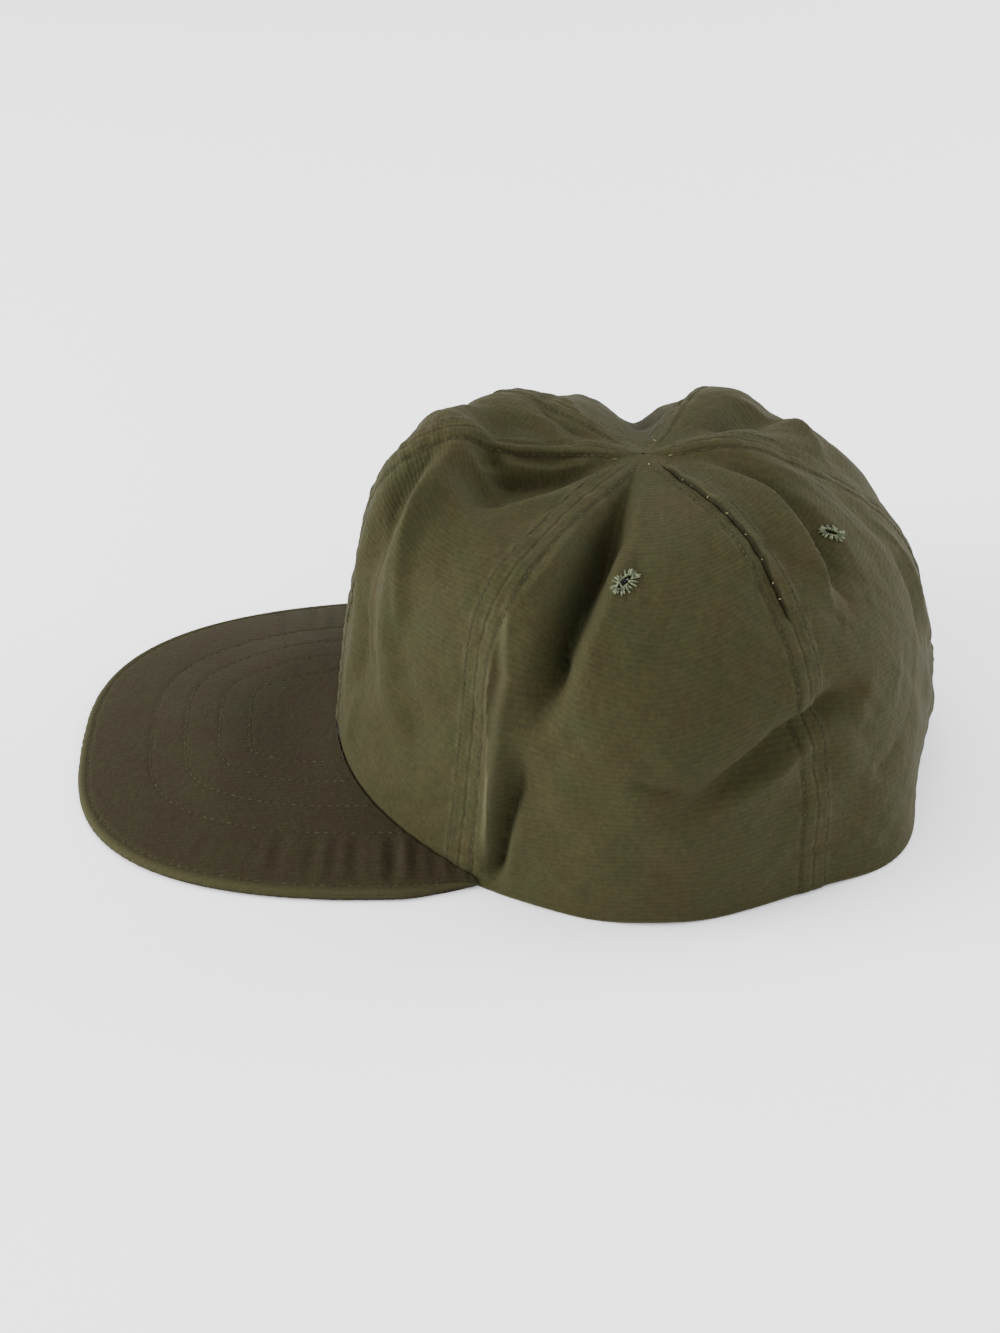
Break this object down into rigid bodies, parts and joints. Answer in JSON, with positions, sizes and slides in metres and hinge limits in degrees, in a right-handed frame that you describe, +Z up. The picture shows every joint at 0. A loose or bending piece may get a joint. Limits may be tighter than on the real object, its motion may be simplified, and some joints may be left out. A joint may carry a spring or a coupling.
{
  "type": "field cap",
  "caption": "Soft cloth field cap with a panelled crown, worked eyelets and a stitched visor, worn on the head and resting on its rim.",
  "frame": {"origin": "middle of the head opening, on the plane that the rim rests on", "axes": "+Z up, the front of the cap and its visor towards -Y, the wearer's left towards +X"},
  "size_m": [0.1834, 0.2625, 0.1079],
  "materials": {
    "crown_cloth": "olive green ribbed cotton, washed soft",
    "visor_cloth": "olive brown cotton over a sewn-in board, with rows of topstitching",
    "thread": "grey green cotton thread, thick round the eyelets and fine in the topstitching"
  },
  "bodies": {
    "root": {"crown_front_left": "crown_cloth", "crown_front_right": "crown_cloth", "crown_side_left": "crown_cloth", "crown_side_right": "crown_cloth", "crown_back_left": "crown_cloth", "crown_back_right": "crown_cloth", "visor": "visor_cloth", "eyelet_side_left": "thread", "eyelet_side_right": "thread", "eyelet_back_left": "thread", "eyelet_back_right": "thread"}
  },
  "joints": []
}
